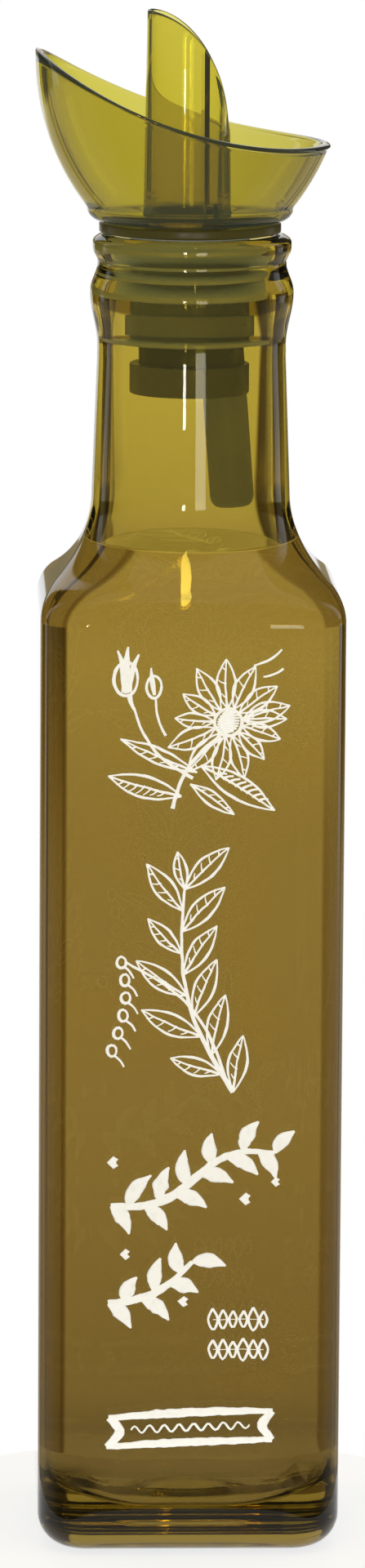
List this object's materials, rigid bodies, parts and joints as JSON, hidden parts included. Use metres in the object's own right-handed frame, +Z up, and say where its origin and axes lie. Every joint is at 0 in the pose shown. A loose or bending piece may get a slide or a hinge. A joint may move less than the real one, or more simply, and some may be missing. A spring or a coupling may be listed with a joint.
{
  "type": "oil dispenser bottle",
  "caption": "Tall square olive-tinted glass bottle filled with oil, with a round neck, a finned stopper and a clear pouring cup with a slanted spout.",
  "frame": {"origin": "middle of the bottle's rest face", "axes": "+Z up along the bottle, -Y towards the printed front, -X towards the high side of the cup and the tip of the spout"},
  "size_m": [0.05, 0.0492, 0.2495],
  "materials": {
    "olive_glass": "smooth olive-tinted transparent glass",
    "oil": "clear golden liquid",
    "stopper_plastic": "soft satin olive plastic",
    "cup_plastic": "glossy transparent yellow-green moulded plastic",
    "white_print": "thin white screen print on the front of the glass"
  },
  "bodies": {
    "root": {"bottle_glass": "olive_glass", "oil": "oil", "stopper": "stopper_plastic", "pourer": "cup_plastic"}
  },
  "joints": []
}
